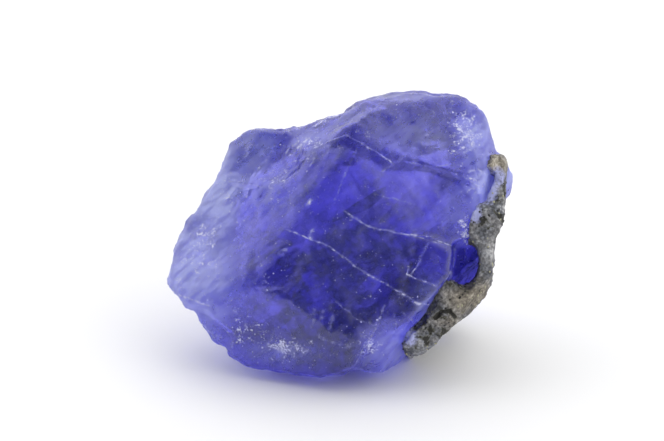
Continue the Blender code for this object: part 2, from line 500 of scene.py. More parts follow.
# Every line: what it is, its route, its strength and, where it isn't a fine one, its width
MARKS = tuple(Mark(*row) for row in (
    (RIM, ((-1.9, 5.85), (-0.75, 6.4), (0.3, 6.72)), 0.6),
    (RIM, ((0.3, 6.72), (1.9, 5.75), (3.5, 4.8)), 0.9),
    (CRACK, ((3.5, 4.8), (2.6, 4.3)), 0.4),
    (FOOT, ((4.1, 5.1), (6.0, 4.5), (7.4, 4.1), (9.0, 3.25)), 0.5, 0.10),
    (RIM, ((4.6, 4.85), (6.5, 4.62), (7.6, 4.85)), 0.35),
    (RIM, ((7.4, 4.25), (8.3, 3.9), (9.2, 3.3)), 0.7),
    (CRACK, ((1.07, 6.1), (0.4, 4.6), (-0.6, 2.3)), 0.35),
    (RIM, ((-0.9, 7.07), (1.36, 7.95), (2.05, 8.54), (3.0, 9.3), (4.2, 9.66)), 0.35),
    (RIM, ((4.6, 8.74), (5.4, 8.8), (6.16, 8.44), (6.55, 7.65)), 0.40),
    (RIM, ((5.4, 6.5), (6.1, 7.1), (6.75, 7.37), (7.9, 7.85)), 0.40),
    (RIM, ((5.3, 6.3), (6.0, 5.9), (7.0, 5.8)), 0.25),
    (CRACK, ((2.1, 2.76), (3.2, 2.46), (4.6, 2.1)), 0.30),
    (RIM, ((0.1, 1.55), (1.7, 0.5), (3.4, 0.17), (6.0, -0.24), (7.3, -0.8)), 0.8),
    (CRACK, ((4.2, 0.02), (5.4, -0.28), (6.6, -0.62)), 0.6),
    (RIM, ((7.3, -0.8), (7.68, -1.16), (7.54, -2.2), (6.9, -3.2), (6.6, -4.0)), 0.6),
    (RIM, ((5.76, -0.58), (5.4, -1.3), (5.0, -2.14), (4.5, -2.83)), 0.8),
    (RIM, ((4.4, -2.2), (4.3, -2.75), (4.6, -2.8), (6.45, -3.6)), 0.9),
    (CRACK, ((6.4, -2.6), (6.86, -2.95)), 0.7),
    (CRACK, ((-3.88, 0.31), (-2.31, -0.28), (-0.89, -0.85), (1.36, -2.53), (3.02, -3.46),
             (4.99, -4.59), (5.87, -4.83)), 0.9),
    (CRACK, ((3.9, -3.95), (4.99, -4.59), (5.3, -4.7)), 0.8, 0.10),
    (CRACK, ((-0.5, -4.6), (1.0, -5.7), (2.2, -6.2)), 0.35),
    (CRACK, ((2.8, -4.8), (2.24, -6.25), (1.56, -7.33), (0.87, -8.9)), 0.6),
    (CRACK, ((3.42, -5.37), (3.6, -6.45), (3.3, -7.0)), 0.5),
    (RIM, ((4.0, -5.3), (5.0, -6.1), (5.5, -6.2)), 0.45),
    (RIM, ((-11.6, -4.05), (-9.95, -4.59), (-9.1, -4.9)), 0.8, 0.07),
    (FOOT, ((-5.84, -3.7), (-5.06, -3.85), (-4.07, -3.8), (-3.49, -4.4)), 0.5, 0.16),
    (RIM, ((-8.8, 3.5), (-7.2, 3.6), (-6.0, 3.35), (-4.7, 3.1)), 0.5),
    (RIM, ((-8.3, 2.3), (-7.3, 3.0), (-6.2, 3.1)), 0.4),
    (RIM, ((-7.0, 5.0), (-6.3, 6.1), (-5.6, 6.2)), 0.35, 0.08),
    (RIM, ((-6.2, 4.1), (-5.2, 5.2), (-4.6, 6.3)), 0.40, 0.08),
    (CRACK, ((-3.7, 5.3), (-3.1, 5.9), (-2.5, 6.6)), 0.9, 0.10),
    (CRACK, ((-3.9, 5.6), (-3.3, 6.3)), 0.7, 0.07),
    (CRACK, ((-3.7, 4.9), (-2.4, 5.2)), 0.7),
    (CRACK, ((-2.3, 4.6), (-2.0, 5.2)), 0.6),
    (RIM, ((-1.9, 7.4), (-1.0, 8.0), (-0.2, 8.2)), 0.8, 0.12),
    (CRACK, ((-2.4, 1.85), (-2.2, 2.3)), 0.9, 0.11),
    (CRACK, ((-2.2, -0.2), (-2.0, 0.3)), 0.9, 0.10),
    (CRACK, ((-4.2, -1.3), (-4.0, -1.1)), 1.0, 0.13),
    (CRACK, ((-2.0, -5.2), (-2.15, -6.2)), 0.30, 0.10),
    (CRACK, ((-1.3, -5.1), (-1.5, -6.1)), 0.30, 0.10),
    (CRACK, ((-0.7, -5.4), (-0.85, -6.6)), 0.30, 0.10),
    (CRACK, ((-5.4, -7.2), (-4.6, -7.9), (-3.9, -8.0), (-3.3, -7.6)), 0.8, 0.10),
    (CRACK, ((-4.7, -6.6), (-5.0, -7.4)), 0.6, 0.08),
    (CRACK, ((-1.6, -6.9), (-0.6, -7.4), (0.4, -7.6)), 0.45, 0.10),
    (CRACK, ((-7.4, -5.2), (-6.7, -5.9), (-6.6, -6.8)), 0.5, 0.08),
    (CRACK, ((8.6, 3.1), (9.6, 3.5), (9.9, 2.9)), 0.7),
    (CRACK, ((9.0, 4.6), (9.3, 3.4), (8.9, 2.7)), 0.6),
    (CRACK, ((8.5, 4.2), (9.2, 4.5), (9.9, 4.1)), 0.6, 0.07),
))

# Worn ridges and steps: the route of each, and how far to either side it is rounded
ROUNDED = (
    (((-1.6, 2.2), (-4.8, -3.3)), 1.5),
    (((-11.2, -4.4), (-7.5, -4.0), (-4.8, -3.3), (-2.4, -4.8), (0.0, -6.4), (1.0, -7.2)), 1.5),
    (((-0.6, 5.7), (0.9, 6.4), (3.4, 4.8), (4.6, 4.9)), 0.6),
    (((4.2, -6.9), (2.7, -5.7), (1.2, -7.7)), 0.7),
)

# Places where the front is broken small, in sharp little folds
CRUMPLED = ovals(
    ((-7.2, 3.8), (2.8, 2.6), 1.0),
    ((-3.8, 5.2), (2.4, 1.6), 0.9),
    ((-10.2, -1.2), (1.8, 3.0), 0.7),
    ((-4.8, -7.0), (3.8, 1.4), 1.0),
    ((9.0, 5.6), (1.4, 2.8), 1.0),
    ((2.4, 7.9), (3.0, 1.2), 0.7),
    ((5.6, 6.2), (2.4, 1.4), 0.5),
    ((2.2, -7.2), (2.2, 1.4), 1.0),
)

# The sliver of crystal that stands out past the crust at the right, and the thin side by it
SLIVER = Patch((11.6, 3.9), (0.7, 1.2), 0.5)
THIN_SIDE = Patch((10.1, 3.3), (0.9, 2.0), 0.9)

# Places with a tone of their own, which is their strength, from 0 for pale to 1 for deep
ZONES = ovals(
    ((-10.0, -2.0), (3.0, 5.0), 0.13),
    ((-8.2, 4.0), (1.8, 2.6), 0.0),
    ((-6.1, 6.4), (1.4, 1.1), 0.05),
    ((-6.0, 0.7), (1.8, 2.6), 0.84),
    ((-4.4, -0.6), (1.7, 2.2), 0.82),
    ((-4.2, -5.2), (1.6, 1.2), 1.0),
    ((-3.3, 2.6), (1.7, 3.2), 0.78),
    ((-1.6, 3.4), (0.9, 2.8), 0.86),
    ((-0.2, 5.6), (0.8, 1.2), 0.88),
    ((1.0, -2.6), (4.6, 3.2), 1.05),
    ((6.0, -2.0), (2.0, 2.4), 0.88),
    ((-3.2, -3.0), (2.0, 1.6), 1.10),
    ((5.0, 2.2), (4.0, 1.6), 0.84),
    ((7.8, 1.6), (0.9, 1.2), 0.45),
    ((4.2, 6.6), (3.6, 2.2), 0.72),
    ((2.6, 9.2), (3.0, 0.5), 0.60),
    ((9.9, 3.2), (1.4, 2.4), 0.20),
    ((9.3, 7.4), (1.2, 1.6), 0.28),
    ((8.6, -2.2), (1.0, 1.4), 0.95),
    ((6.6, -4.8), (0.9, 1.4), 1.0),
    ((-5.0, -6.0), (3.6, 1.8), 1.0),
    ((-8.4, -5.2), (1.6, 1.4), 0.45),
    ((-2.6, -8.4), (4.0, 1.2), 0.98),
    ((3.4, -7.8), (1.5, 1.2), 0.60),
    ((5.0, -6.0), (1.0, 0.8), 0.66),
)

PLATES = (
    ColourPlate(((-5.6, 2.6), (-3.6, 3.0), (-2.2, 4.8), (-1.4, 2.2), (-3.0, -1.5), (-5.0, -3.2),
                 (-6.4, -2.4), (-6.2, 0.5)), 0.95, 0.50, 1.8),
    ColourPlate(((-7.2, -5.2), (-4.8, -4.2), (-1.5, -5.2), (0.5, -7.0), (0.0, -8.8), (-4.5, -8.9),
                 (-7.0, -7.2)), 1.0, 0.55, 1.6),
    # painted reflection: a dark inner mirror seen in the crystal
    ColourPlate(((4.4, 8.6), (5.0, 8.75), (5.8, 8.35), (6.55, 7.65), (6.15, 7.3), (5.4, 7.75)),
                0.90),
    # painted reflection: a dark inner mirror seen in the crystal
    ColourPlate(((5.4, 6.3), (6.15, 6.8), (7.1, 7.25), (7.8, 6.9), (7.9, 6.4), (7.6, 6.0),
                 (6.5, 5.9)), 0.90),
    ColourPlate(((0.1, 1.4), (1.7, 0.4), (3.4, 0.1), (6.0, -0.3), (7.3, -0.9), (6.9, -3.2),
                 (6.3, -5.1), (2.7, -5.2), (-2.6, -4.2), (-2.2, -1.2)), 1.0, 0.55, 1.0),
    ColourPlate(((-3.0, 0.6), (-2.6, 1.5), (-1.5, 1.4), (-1.4, 0.4), (-2.2, 0.2)), 1.0, 0.55, 0.3),
    ColourPlate(((0.3, 6.5), (1.0, 6.2), (-0.7, 2.8), (-1.6, 2.8)), 0.92, 0.5, 0.4),
    ColourPlate(((5.2, 0.2), (5.0, -2.1), (4.5, -2.8), (6.4, -3.6), (7.2, -2.4), (7.3, -0.9)),
                0.80, 0.35, 0.2),
    # painted shade along the foot of a step
    ColourPlate(((-5.8, -3.7), (-4.9, -3.5), (-3.9, -3.7), (-3.6, -4.3), (-4.6, -4.0)),
                1.0, 0.5, 0.3),
    ColourPlate(((-4.55, 2.8), (-4.4, 3.0), (-4.25, 2.85), (-4.4, 2.7)), 1.0, 0.9, 0.1),
)

# Milky places
HAZES = ovals(
    ((-10.8, -2.2), (2.9, 3.4), 1.25),
    ((-8.8, 2.8), (1.6, 3.2), 1.4),
    ((-5.6, 3.6), (2.2, 2.0), 0.38),
    ((-2.4, 6.6), (2.0, 0.9), 0.50),
    ((0.5, 8.2), (2.0, 0.6), 0.35),
    ((4.6, 6.8), (3.2, 1.6), 0.38),
    ((9.1, 6.9), (1.4, 2.0), 1.0),
    ((10.0, 3.2), (1.7, 2.2), 1.0),
    ((4.6, 9.5), (2.6, 0.4), 0.55),
    ((3.4, -8.0), (1.8, 1.5), 0.70),
    ((5.8, -5.2), (0.8, 1.6), 0.60),
    ((7.8, 1.4), (0.8, 1.2), 0.40),
    ((-6.0, 6.4), (1.5, 1.2), 0.35),
    ((-4.2, -8.0), (2.4, 0.7), 0.35),
    ((-9.0, -5.2), (1.4, 0.9), 0.75),
    ((11.9, 3.9), (0.9, 2.0), 1.4),
)

# Chipped and frosty places, frost whose white specks also carry painted glitter and glints
GRITS = ovals(
    ((-9.5, -0.1), (1.3, 1.4), 1.0),
    ((-10.0, -2.4), (2.2, 2.4), 0.68),
    ((-8.0, 3.2), (1.8, 2.2), 0.64),
    ((-4.4, 3.6), (2.0, 1.8), 0.60),
    ((-2.3, 6.3), (2.0, 0.9), 0.75),
    ((8.4, 6.9), (1.3, 2.1), 1.15),
    ((9.2, 3.6), (1.2, 1.3), 0.70),
    ((8.3, 0.4), (0.6, 1.9), 0.95),
    ((-3.9, -7.7), (1.9, 0.9), 1.05),
    ((-6.6, -6.7), (2.2, 1.0), 0.85),
    ((1.8, -7.6), (0.9, 1.4), 0.95),
    ((-5.2, -2.6), (1.8, 1.4), 0.45),
    ((2.0, -4.5), (2.5, 1.2), 0.25),
    ((3.3, 8.9), (0.6, 0.5), 0.55),
    ((1.2, 6.9), (0.7, 0.6), 0.45),
)

# Where the crust lies on the crystal, and then its dark, warm, bleached and frosty places
CRUST_COVER = (
    (10.1, 5.5), (9.8, 4.6), (10.2, 4.1), (10.6, 3.6), (10.4, 2.6), (9.4, 2.1), (8.8, 1.5),
    (8.5, 0.5), (8.6, -0.4), (9.1, -0.9), (9.4, -1.6), (9.3, -2.5), (9.0, -3.3), (8.4, -3.7),
    (7.6, -3.3), (7.0, -3.05), (6.5, -3.8), (6.05, -4.6), (5.6, -5.4), (5.0, -6.1),
    (4.3, -6.7), (4.0, -7.5), (4.3, -8.3), (5.4, -9.0), (13.0, -7.0), (13.0, 1.4), (11.0, 2.0),
    (10.9, 5.0),
)

GRAPHITE = ovals(
    ((9.4, 1.0), (0.55, 0.5), 1.0),
    ((10.7, 0.9), (0.35, 0.6), 1.0),
    ((10.6, -0.3), (0.3, 0.6), 1.0),
    ((10.4, 2.5), (0.4, 0.4), 0.9),
    ((7.9, -3.5), (0.7, 0.35), 1.0),
    ((6.9, -7.0), (1.0, 0.8), 0.80),
    ((5.6, -6.3), (0.7, 0.5), 0.70),
    ((7.6, -4.6), (0.5, 0.4), 0.4),
    ((8.7, -4.9), (0.7, 0.4), 0.45),
    ((11.3, 2.9), (0.3, 0.9), 0.9),
    ((5.8, -7.1), (0.8, 0.5), 0.65),
)

WARM = ovals(
    ((9.0, -4.4), (1.8, 1.1), 1.0),
    ((10.6, 4.8), (0.8, 0.8), 1.0),
    ((7.2, -5.9), (0.8, 0.6), 0.6),
)

PALE = ovals(
    ((9.6, -4.6), (1.4, 1.2), 0.15),
    ((9.9, -1.2), (0.5, 0.7), 1.0),
    ((10.6, 4.8), (0.8, 0.8), 0.9),
    ((9.6, 1.8), (0.6, 0.6), 0.8),
    ((10.8, 1.8), (0.5, 0.5), 0.7),
    ((5.2, -7.7), (0.9, 0.7), 0.7),
)

# Where a thin film of broken tanzanite is left on the rock
FROST = ovals(
    ((9.9, 3.3), (0.7, 1.2), 1.0),
    ((10.6, 3.9), (0.6, 0.8), 0.7),
    ((9.0, 1.5), (0.5, 0.8), 0.8),
    ((4.5, -7.0), (0.6, 0.7), 0.8),
)

# Each hollow's route, and how far to either side it reaches; each is sunk and painted with shade
HOLLOWS = ((((6.3, -5.75), (6.7, -5.25), (7.3, -5.2), (7.65, -5.6)), 0.11),)


# Finishes

@dataclass(frozen=True)
class TanzaniteFinish:
    """Rough gem tanzanite, a zoisite: broken, not cut or polished.

    It is see-through, so its deep places are dark from the length of the light's way through
    them, its thin edges are pale, and its chips scatter light and look whitish. Their white
    specks carry painted glitter, and its rims and far ledges a painted highlight in white lines.
    Patterns are in millimetres. The finest are drawn coarser than they are, so that they show.
    """

    name: str = "Rough tanzanite"
    index: float = 1.69
    absorbed: str = "4C4AF2"
    density: float = 45.0
    tones: tuple[Stop, ...] = (
        (0.0, "C2C8FF"), (0.25, "9A9EFF"), (0.5, "6A62F0"), (0.75, "4036BA"), (1.0, "131448"),
    )
    milk: str = "BEC6FF"
    chip_and_highlight: str = "E6E8FF"
    cleavage: float = math.radians(38.0)
    drawn_out: tuple[float, float, float] = (4.0, 1.0, 1.6)
    cloud: float = 2.4
    plate: float = 0.9
    mottle: float = 0.5
    streak: float = 0.34
    ripple: float = 0.5
    speckle: float = 0.13
    cloud_change: float = 0.12
    plate_change: float = 0.05
    mottle_change: float = 0.06
    streaked: tuple[float, float] = (0.40, 0.59)
    least_milk: tuple[float, float] = (0.40, 0.75)
    milk_clouding: float = 0.7
    grit_levels: tuple[float, float] = (0.84, 0.48)
    grit_uneven: float = 0.20
    grit_softness: float = 0.16
    clearness: tuple[float, float] = (0.92, 0.15)
    dullness: tuple[float, float] = (0.24, 0.58)
    dull_uneven: float = 0.06
    ripple_strength: float = 0.4
    ripple_depth: float = 0.07

    def build(self) -> Material:
        """Makes the material.

        Returns:
            The material, which reads the skin's tone, haze, grit, edge and scuff.
        """
        material, tree, shader = new_material(self.name)
        at = add(tree, "ShaderNodeTexCoord").outputs["Object"]
        along = self.along_cleavage(tree, at)
        tone, haze, grit, edge, scuff = (
            add(tree, ATTRIBUTE, settings={"attribute_name": name}).outputs["Fac"]
            for name in ("tone", "haze", "grit", "edge", "scuff"))
        cloud, mottle, streak, ripple, speckle = (
            add(tree, NOISE, {"Vector": where, "Scale": per_metre(size), "Detail": detail})
            for where, size, detail in (
                (at, self.cloud, 4.0), (at, self.mottle, 4.0), (along, self.streak, 4.0),
                (along, self.ripple, 1.5), (at, self.speckle, 2.0)))
        plates = add(tree, CELLS, {"Vector": along, "Scale": per_metre(self.plate)})
        own = add(tree, CHANNELS, (plates.outputs["Color"],)).outputs
        for pattern, low, high, most in (
            (cloud, *SOFT, self.cloud_change), (own["Red"], *FULL, self.plate_change),
            (mottle, *SOFT, self.mottle_change),
        ):
            change = add(tree, MAP, (pattern, low, high, -most, most))
            tone = add(tree, MATH, (tone, change), SUM)
        milky = haze
        for pattern, low, high, least in (
            (streak, *self.streaked, self.least_milk[0]),
            (own["Green"], *FULL, self.least_milk[1]),
        ):
            share = add(tree, MAP, (pattern, low, high, least, 1.0))
            milky = add(tree, MATH, (milky, share), TIMES)
        # white specks on the frosty places: frost with painted glitter
        uneven = add(tree, MAP, (mottle, *SOFT, -self.grit_uneven, self.grit_uneven))
        level = add(tree, MAP, (grit, *FULL, *self.grit_levels))
        over = add(tree, MATH, (add(tree, MATH, (speckle, uneven), SUM), level), LESS)
        frost_and_glitter = add(tree, MAP, (over, 0.0, self.grit_softness))
        # the edge attribute adds the painted highlights of rims and far ledges, and the white
        # crack lines
        white = add(tree, MATH, (frost_and_glitter, edge), MOST)
        colour = add(tree, RAMP, (tone,), {"color_ramp": self.tones})
        for share, cover in ((milky, self.milk), (white, self.chip_and_highlight)):
            colour = add(tree, MIX, {0: share, 6: colour, 7: linear(cover)}, COLOUR)
        clouding = add(tree, MATH, (milky, self.milk_clouding), TIMES)
        clouded = add(tree, MATH, (clouding, white), MOST)
        worn = add(tree, MATH, (milky, scuff), MOST)
        dull = add(tree, MAP, (worn, *FULL, *self.dullness))
        uneven = add(tree, MAP, (mottle, *SOFT, -self.dull_uneven, self.dull_uneven))
        give(tree, shader, {
            "Base Color": colour,
            "Transmission Weight": add(tree, MAP, (clouded, *FULL, *self.clearness)),
            "Roughness": add(tree, MATH, (dull, uneven), SUM),
            "IOR": self.index,
            "Normal": add(tree, "ShaderNodeBump", {
                "Strength": self.ripple_strength, "Distance": self.ripple_depth * MM,
                "Height": ripple}),
        })
        give(tree, tree.nodes["Material Output"], {"Volume": add(
            tree, "ShaderNodeVolumeAbsorption", (linear(self.absorbed), self.density))})
        return material

    def along_cleavage(self, tree: NodeTree, at: NodeSocket) -> Node:
        """Makes coordinates that draw a pattern out up the cleavage.

        Args:
            tree: The material's tree.
            at: The Object coordinates.

        Returns:
            The node that gives them.
        """
        turn = Matrix(FACE.axes.T.tolist()) @ Matrix.Rotation(self.cleavage, 3, "Z")
        inputs = {"Vector": at, "Rotation": tuple(turn.to_euler()), "Scale": self.drawn_out}
        return add(tree, "ShaderNodeMapping", inputs, {"vector_type": "TEXTURE"})


@dataclass(frozen=True)
class HostRockFinish:
    """Graphitic calc-silicate gneiss, broken: fine grey and beige grains.

    It is dull and granular, sooty in its graphitic patches, darker still with painted
    shade in its hollows, and pale where it is bleached.
    Patterns are in millimetres.
    """

    name: str = "Graphitic host rock"
    greys: tuple[Stop, ...] = (
        (0.0, "34363C"), (0.35, "686B74"), (0.65, "989BA4"), (1.0, "CDCFD4"),
    )
    beiges: tuple[Stop, ...] = (
        (0.0, "4A443C"), (0.35, "7A7368"), (0.65, "A39C8E"), (1.0, "D2CCC2"),
    )
    graphite: str = "1D1C1A"
    olive: str = "6C6952"
    frost: str = "A9ADDE"
    patch: float = 1.1
    clump: float = 0.55
    grains: float = 0.24
    fine: float = 0.20
    patch_shades: tuple[float, float] = (0.12, 0.40)
    own_shades: tuple[float, float] = (-0.10, 0.16)
    fine_shades: tuple[float, float] = (-0.30, 0.30)
    bleaching: float = 0.30
    warmth: float = 0.35
    clump_levels: tuple[float, float] = (0.34, 0.56)
    hollow_shade_level: float = 0.4
    rim_width: float = 0.04
    roughness: tuple[float, float] = (0.65, 0.95)
    grain_strength: float = 0.9
    grain_depth: float = 0.08

    def build(self) -> Material:
        """Makes the material.

        Returns:
            The material, which reads the crust's dark patches, which hold its graphitic places and
            the painted shade of its hollows, and its warm, pale and frost.
        """
        material, tree, shader = new_material(self.name)
        at = add(tree, "ShaderNodeTexCoord").outputs["Object"]
        dark, warm, pale, frost = (
            add(tree, ATTRIBUTE, settings={"attribute_name": name}).outputs["Fac"]
            for name in ("graphite", "warm", "pale", "frost"))
        patch, fine, clump = (
            add(tree, NOISE, {"Vector": at, "Scale": per_metre(size), "Detail": detail})
            for size, detail in ((self.patch, 4.0), (self.fine, 5.0), (self.clump, 5.0)))
        grains = add(tree, CELLS, {"Vector": at, "Scale": per_metre(self.grains)})
        own = add(tree, CHANNELS, (grains.outputs["Color"],))
        shade = add(tree, MAP, (patch, 0.35, 0.65, *self.patch_shades))
        for pattern, low, high, least, most in (
            (own, *FULL, *self.own_shades), (fine, *SOFT, *self.fine_shades),
            (pale, *FULL, 0.0, self.bleaching),
        ):
            change = add(tree, MAP, (pattern, low, high, least, most))
            shade = add(tree, MATH, (shade, change), SUM)
        warmer_patch = add(tree, MAP, (patch, 0.4, 0.6, 0.0, self.warmth))
        beige = add(tree, MATH, (warm, warmer_patch), SUM)
        cool, warmer = (
            add(tree, RAMP, (shade,), {"color_ramp": stops})
            for stops in (self.greys, self.beiges))
        colour = add(tree, MIX, {0: beige, 6: cool, 7: warmer}, COLOUR)
        # how dark: the graphitic patches, and past 1.2 the painted shade of the hollows
        level = add(tree, MATH, (
            add(tree, MAP, (dark, *FULL, *self.clump_levels)),
            add(tree, MAP, (dark, 1.2, 2.4, 0.0, self.hollow_shade_level))), SUM)
        rim = add(tree, MATH, (add(tree, MATH, (level, self.rim_width), SUM), clump), LESS)
        soot_and_shade = add(tree, MATH, (level, clump), LESS)
        frosted = add(tree, MATH, (
            frost, add(tree, MAP, (fine, 0.3, 0.6, 0.5, 1.0))), TIMES)
        for cover, amount, low, high, most in (
            (self.olive, rim, 0.0, 0.06, 0.5), (self.graphite, soot_and_shade, 0.0, 0.05, 0.9),
            (self.frost, frosted, 0.2, 0.5, 1.0),
        ):
            share = add(tree, MAP, (amount, low, high, 0.0, most))
            colour = add(tree, MIX, {0: share, 6: colour, 7: linear(cover)}, COLOUR)
        give(tree, shader, {
            "Base Color": colour,
            "Roughness": add(tree, MAP, (fine, *SOFT, *self.roughness)),
            "Normal": add(tree, "ShaderNodeBump", {
                "Strength": self.grain_strength, "Distance": self.grain_depth * MM,
                "Height": fine}),
        })
        return material


@dataclass(frozen=True)
class PlainFinish:
    """A finish that is the same all over: the bits that lie on the stone, and the floor.

    It is matt, or it glints a little where its roughness is low.
    """

    name: str
    colour: str
    roughness: float

    def build(self) -> Material:
        """Makes the material.

        Returns:
            The material.
        """
        material, tree, shader = new_material(self.name)
        give(tree, shader, {"Base Color": linear(self.colour), "Roughness": self.roughness})
        return material


DUST = PlainFinish("Tanzanite dust", "F0F2FF", 0.6)  # the white specks on the dark faces
# painted glints: white bits that stand for the sparkle of frosty places
GLINT_BITS = PlainFinish("Tanzanite splinters", "E4E8FF", 0.3)  # the glints on frosty places
GRAPHITE_FLAKE = PlainFinish("Graphite", "1B1B1D", 0.35)  # the black scales on the rock
GROSSULAR = PlainFinish("Grossular grains", "A6A488", 0.4)  # its few yellow-green grains
WHITE_BOARD = PlainFinish("White board", "F6F6F7", 0.9)  # a pale floor that shows the shadow


# Pieces

@dataclass
class Crystal:
    """The tanzanite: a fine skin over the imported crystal, with its rims, cracks and pits.

    Sizes are in millimetres. The far side is all that doesn't look out of the broad face.
    """

    node: str = "tanzanite_crystal"
    grain: float = 0.16
    smoothing: int = 8
    rounding: int = 160
    # The marks, how finely the skin is split beside them, and how they wander and break off
    marks: tuple[Mark, ...] = MARKS
    mark_band: float = 0.165
    mark_cuts: int = 3
    stray: float = 0.08
    faintest: float = 0.12
    # The relief, and how far a vertex has to look out of the face to be on the front
    crumple: float = 0.16
    fold_top: float = 0.35
    ragged: float = 0.12
    ledge: float = 0.10
    ledge_softness: float = 0.05
    ledge_line: float = 0.025
    ledge_light: float = 0.7
    quiet_foot: float = 1.5
    front_from: float = 0.05
    front_over: float = 0.18
    side_over: float = 0.3
    # The noise in its relief and its colours
    wander: tuple[Clouds, ...] = (Clouds(0.7, 2, 1.0), Clouds(0.7, 2, 7.0))
    swell: Clouds = Clouds(1.1, 3, 3.0, 0.0, 0.06)
    folds: Clouds = Clouds(1.3, 4, 111.0)
    rags: Clouds = Clouds(0.8, 3, 21.0)
    ledges: Clouds = Clouds(3.4, 2, 91.0)
    broken: Clouds = Clouds(0.24, 2, 11.0, 0.26, 2.1)
    far_tone: Clouds = Clouds(3.4, 3, 31.0, 0.13, 0.36)
    far_haze: Clouds = Clouds(3.0, 3, 41.0, 0.12, 0.50)
    far_grit: Clouds = Clouds(2.0, 2, 51.0, 0.05, 0.7, (0.0, 0.55))
    far_scuff: Clouds = Clouds(2.6, 2, 121.0, 0.65, 0.6, (0.4, 1.0))
    clusters: Clouds = Clouds(0.7, 2, 101.0, 0.35, 1.6, (0.0, 1.0))
    # What the front's tone begins with from left to right, and which tones dust shows on
    sliver_thin: float = 2.0
    dust_from: float = 0.4
    dust_over: float = 0.4
    dust_least: float = 0.1
    ground_weight: float = 0.2
    ground_places: tuple[float, ...] = (-12.0, -6.0, 0.0, 9.0)
    ground_tones: tuple[float, ...] = (0.1, 0.4, 0.8, 0.6)

    def build(self, nodes: dict[str, Object]) -> Object:
        """Makes the piece.

        Args:
            nodes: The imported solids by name.

        Returns:
            The finished piece, riding on the stone.
        """
        piece = add_object("crystal_skin", merged_copy(nodes[self.node]))
        even_skin(piece, self.grain, self.smoothing)
        self.round_ridges(piece)
        self.refine(piece)
        self.carve(piece)
        piece.data.shade_smooth()
        piece.data.materials.append(TanzaniteFinish().build())
        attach(piece, "root")
        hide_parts(self.node)
        return piece

    def front(self, mesh: Mesh) -> tuple[np.ndarray, np.ndarray]:
        """The vertices' places on the broad face, and how far each looks out of it.

        Args:
            mesh: The crystal's mesh.

        Returns:
            Rows of u and v, and a number from 0 to 1 for each vertex.
        """
        places = FACE.from_model(points_of(mesh))
        looks = normals_of(mesh) @ FACE.axes[2]
        facing = np.clip((looks - self.front_from) / self.front_over, 0.0, 1.0)
        return places[:, :2], facing * (places[:, 2] > 0.0)

    def round_ridges(self, piece: Object) -> None:
        """Rounds the worn ridges off, and leaves the rest as it is.

        Args:
            piece: The crystal's even skin.
        """
        places, facing = self.front(piece.data)
        weights = near_lines(places, ROUNDED) * facing
        group = piece.vertex_groups.new(name="worn")
        for i in np.flatnonzero(weights > 0.02):
            group.add([int(i)], float(weights[i]), "REPLACE")
        relax = piece.modifiers.new("Worn", "SMOOTH")
        relax.factor = 0.5
        relax.iterations = self.rounding
        relax.vertex_group = group.name
        freeze(piece)
        piece.vertex_groups.clear()

    def refine(self, piece: Object) -> None:
        """Splits the faces beside the marks, so that the marks are sharp.

        Args:
            piece: The crystal's rounded skin.
        """
        places, facing = self.front(piece.data)
        near = np.min([distance_to_line(places, mark.route) for mark in self.marks], axis=0)
        wanted = (near < self.mark_band) & (facing > 0.0)
        shape = bmesh.new()
        shape.from_mesh(piece.data)
        edges = [e for e in shape.edges if wanted[e.verts[0].index] and wanted[e.verts[1].index]]
        bmesh.ops.subdivide_edges(shape, edges=edges, cuts=self.mark_cuts, use_grid_fill=True)
        bmesh.ops.triangulate(shape, faces=[f for f in shape.faces if len(f.verts) > 4])
        shape.to_mesh(piece.data)
        shape.free()

    def carve(self, piece: Object) -> None:
        """Raises the rims, sinks the cracks, breaks the far side, and writes what is read later.

        Args:
            piece: The crystal's refined skin.
        """
        mesh = piece.data
        points = points_of(mesh)
        normals = normals_of(mesh)
        places, facing = self.front(mesh)
        off_base = np.clip(points[:, 2] / (self.quiet_foot * MM), 0.0, 1.0)
        folds = self.fold_top - np.abs(self.folds.over(points))
        ledges = self.ledges.over(points)
        height = self.swell.over(points)
        height += self.crumple * strongest(CRUMPLED, places) * facing * folds
        height += self.ragged * (1.0 - facing) * off_base * self.rags.over(points)
        height += self.ledge * (1.0 - facing) * off_base * np.tanh(ledges / self.ledge_softness)
        broken = self.broken.over(points)
        # painted highlight: a white line along each ledge of the far side
        edge = self.ledge_light * (1.0 - facing) * np.exp(-(ledges / self.ledge_line) ** 2)
        edge *= np.clip(broken, 0.0, 1.0)
        wandering = places + self.stray * np.stack([c.over(points) for c in self.wander], axis=1)
        for mark in self.marks:
            near = distance_to_line(wandering, mark.route) / mark.width
            line = np.exp(-near ** 2) * facing
            height += mark.kind.value * mark.strength * line
            # a rim's white line is a painted highlight, and a crack's is its white hairline
            if mark.kind is not FOOT:
                shown = np.clip(broken, self.faintest, 1.0)
                edge = np.maximum(edge, mark.strength * line * shown)
        points = points + normals * (height * MM)[:, None]
        points[:, 0] += strongest((SLIVER,), places) * MM
        points = move_points(mesh, points)
        looks = normals @ FACE.axes[2]
        near = np.clip((looks + self.side_over) / self.side_over, 0.0, 1.0)
        near *= FACE.from_model(points)[:, 2] > 0.0
        thin = np.maximum(
            self.sliver_thin * strongest((SLIVER,), places), strongest((THIN_SIDE,), places))
        tone = self.tones(places) * near + self.far_tone.over(points) * (1.0 - near)
        tone *= 1.0 - thin
        haze = strongest(HAZES, places) * near + self.far_haze.over(points) * (1.0 - near)
        grit = strongest(GRITS, places)
        write_attributes(
            mesh,
            tone=tone,
            haze=np.maximum(haze, thin),
            grit=grit * facing + (1.0 - facing) * self.far_grit.over(points),
            edge=edge,
            scuff=self.far_scuff.over(points) * (1.0 - facing),
            dusty=facing * np.clip((tone - self.dust_from) / self.dust_over, self.dust_least, 1.0),
            glint=grit ** 2 * facing * self.clusters.over(points),
        )

